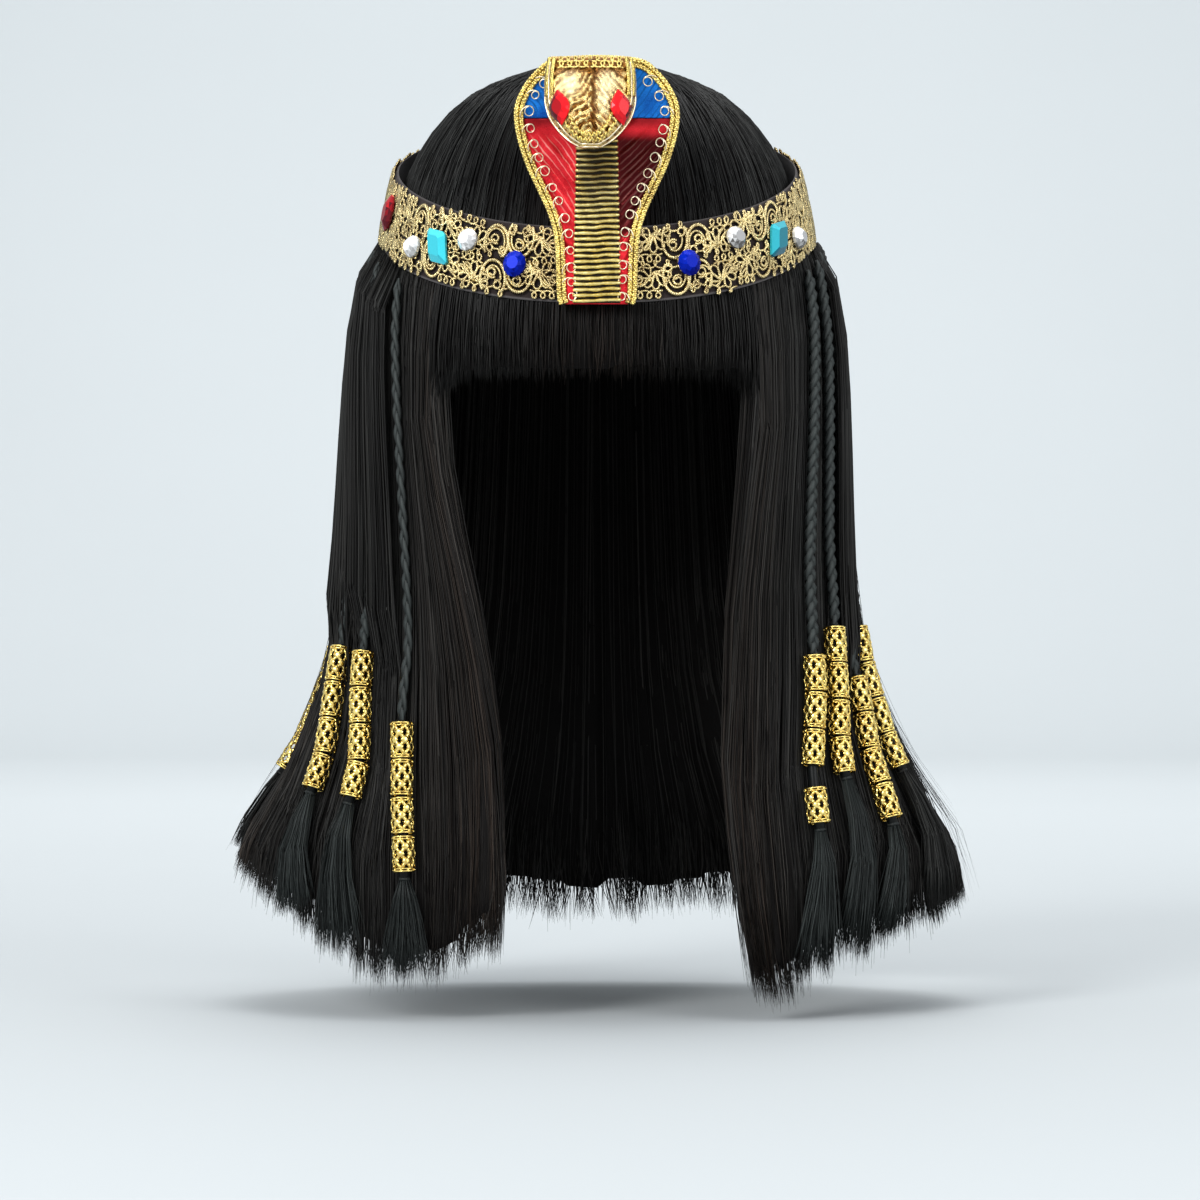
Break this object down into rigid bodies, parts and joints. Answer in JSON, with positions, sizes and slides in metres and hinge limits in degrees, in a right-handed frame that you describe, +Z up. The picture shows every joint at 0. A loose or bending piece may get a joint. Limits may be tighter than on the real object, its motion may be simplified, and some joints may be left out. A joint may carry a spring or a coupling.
{
  "type": "bob wig with snake headpiece",
  "caption": "Straight black bob wig with a full fringe, thin braids strung with pierced gold tube beads, and a jewelled gold lace headband with a cobra standing up at the front.",
  "frame": {"origin": "inside of the crown, where the wig sits on top of the head", "axes": "+Z up, the opening at the front looks towards -Y, +X to the viewer's right as seen from the front"},
  "size_m": [0.3004, 0.2571, 0.378],
  "materials": {
    "hair": "straight black synthetic hair",
    "ribbon": "dark brown ribbon",
    "gold": "bright gold",
    "gold_cloth": "gold lame",
    "red_cloth": "red lame",
    "blue_cloth": "blue satin",
    "blue_glass": "foiled cut glass",
    "clear_glass": "foiled cut glass",
    "turquoise_glass": "foiled cut glass",
    "red_glass": "foiled cut glass"
  },
  "bodies": {
    "root": {"wig_hair": "hair", "headband": "ribbon", "lace_trim": "gold", "stone_blue_left": "blue_glass", "stone_blue_right": "blue_glass", "stone_clear_front_left": "clear_glass", "stone_clear_front_right": "clear_glass", "stone_turquoise_left": "turquoise_glass", "stone_turquoise_right": "turquoise_glass", "stone_clear_side_left": "clear_glass", "stone_clear_side_right": "clear_glass", "stone_red_left": "red_glass", "stone_red_right": "red_glass", "hood_red": "red_cloth", "hood_blue": "blue_cloth", "hood_rim": "gold", "hood_belly": "gold_cloth", "snake_head": "gold_cloth", "eye_left": "red_glass", "eye_right": "red_glass", "braid_left_1": "hair", "bead_left_1_1": "gold", "bead_left_1_2": "gold", "bead_left_1_3": "gold", "bead_left_1_4": "gold", "braid_left_2": "hair", "bead_left_2_1": "gold", "bead_left_2_2": "gold", "bead_left_2_3": "gold", "bead_left_2_4": "gold", "braid_left_3": "hair", "bead_left_3_1": "gold", "bead_left_3_2": "gold", "bead_left_3_3": "gold", "bead_left_3_4": "gold", "braid_left_4": "hair", "bead_left_4_1": "gold", "bead_left_4_2": "gold", "bead_left_4_3": "gold", "bead_left_4_4": "gold", "braid_right_1": "hair", "bead_right_1_1": "gold", "bead_right_1_2": "gold", "bead_right_1_3": "gold", "bead_right_1_4": "gold", "braid_right_2": "hair", "bead_right_2_1": "gold", "bead_right_2_2": "gold", "bead_right_2_3": "gold", "bead_right_2_4": "gold", "braid_right_3": "hair", "bead_right_3_1": "gold", "bead_right_3_2": "gold", "bead_right_3_3": "gold", "bead_right_3_4": "gold", "braid_right_4": "hair", "bead_right_4_1": "gold", "bead_right_4_2": "gold", "bead_right_4_3": "gold", "bead_right_4_4": "gold"}
  },
  "joints": []
}
